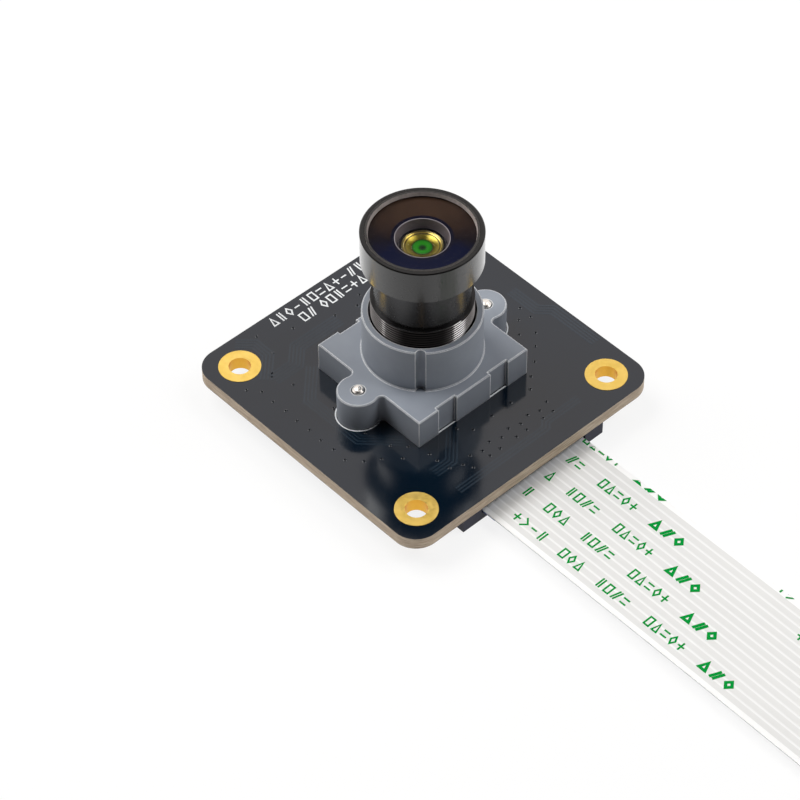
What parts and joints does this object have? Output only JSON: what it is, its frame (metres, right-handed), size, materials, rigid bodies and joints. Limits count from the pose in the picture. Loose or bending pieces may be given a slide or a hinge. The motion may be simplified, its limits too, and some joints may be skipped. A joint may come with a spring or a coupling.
{
  "type": "camera module",
  "caption": "Square board camera module with a screw-in focusing lens in a moulded holder, corner mounting holes and a flat ribbon cable in a sliding-lock connector.",
  "frame": {"origin": "centre of the four mounting holes on the board's underside", "axes": "+Z is the lens's viewing direction, square to the board; +X is the way the cable leaves"},
  "size_m": [0.1827, 0.038, 0.0267],
  "materials": {
    "board": "semi-gloss black solder mask on glass laminate",
    "gold_plate": "gold plated copper",
    "holder": "satin grey moulding",
    "screw_steel": "bright steel",
    "ceramic": "matt",
    "silicon": "polished",
    "clear_glass": "clear",
    "filter_glass": "clear, faint cyan",
    "barrel_black": "black anodised, satin",
    "spacer_black": "black anodised, matt",
    "coated_glass": "coated",
    "gold_coated_glass": "coated",
    "green_coated_glass": "coated",
    "connector_plastic": "moulded, matt",
    "latch_plastic": "moulded, matt",
    "tin_plate": "tin plated",
    "cable_film": "white film over flat conductors",
    "stiffener_blue": "blue film",
    "chip_black": "moulded, matt",
    "ceramic_dark": "matt",
    "lid_metal": "brushed",
    "capacitor_brown": "matt"
  },
  "bodies": {
    "board_assembly": {"cable_far_stiffener": "stiffener_blue", "cable_far_strips": "tin_plate", "cable_near_stiffener": "stiffener_blue", "cable_near_strips": "tin_plate", "capacitor_bodies": "capacitor_brown", "capacitor_end_caps": "tin_plate", "circuit_board": "board", "connector_anchor_tabs": "tin_plate", "connector_contacts": "tin_plate", "connector_housing": "connector_plastic", "holder_screws": "screw_steel", "hole_plating": "gold_plate", "infrared_filter": "filter_glass", "lens_holder": "holder", "oscillator_base": "ceramic_dark", "oscillator_lid": "lid_metal", "regulator_bodies": "chip_black", "regulator_leads": "tin_plate", "resistor_bodies": "chip_black", "resistor_end_caps": "tin_plate", "ribbon_cable": "cable_film", "sensor_cover_glass": "clear_glass", "sensor_die": "silicon", "sensor_package": "ceramic"},
    "focus_carriage": {"aperture_stop": "spacer_black"},
    "lens": {"lens_barrel": "barrel_black", "front_retaining_ring": "barrel_black", "front_lens_element": "coated_glass", "front_spacer": "spacer_black", "second_lens_element": "gold_coated_glass", "upper_spacer": "spacer_black", "third_lens_element": "green_coated_glass", "middle_spacer": "spacer_black", "fourth_lens_element": "coated_glass", "rear_spacer": "spacer_black", "rear_lens_element": "coated_glass"},
    "latch": {"connector_latch": "latch_plastic"}
  },
  "joints": [
    {"name": "focus_travel", "type": "slide", "parent": "board_assembly", "child": "focus_carriage", "axis": [0, 0, 1], "range_m": [-0.00105, 0.0021]},
    {"name": "focus_turn", "type": "hinge", "parent": "focus_carriage", "child": "lens", "pos_m": [0, 0, 0.0117], "axis": [0, 0, 1], "range_deg": [-1080, 2160]},
    {"name": "latch_slide", "type": "slide", "parent": "board_assembly", "child": "latch", "axis": [1, 0, 0], "range_m": [0, 0.001]}
  ],
  "couplings": [
    {"joint": "focus_travel", "follows": "focus_turn", "m_per_rad": 0.000055704}
  ]
}
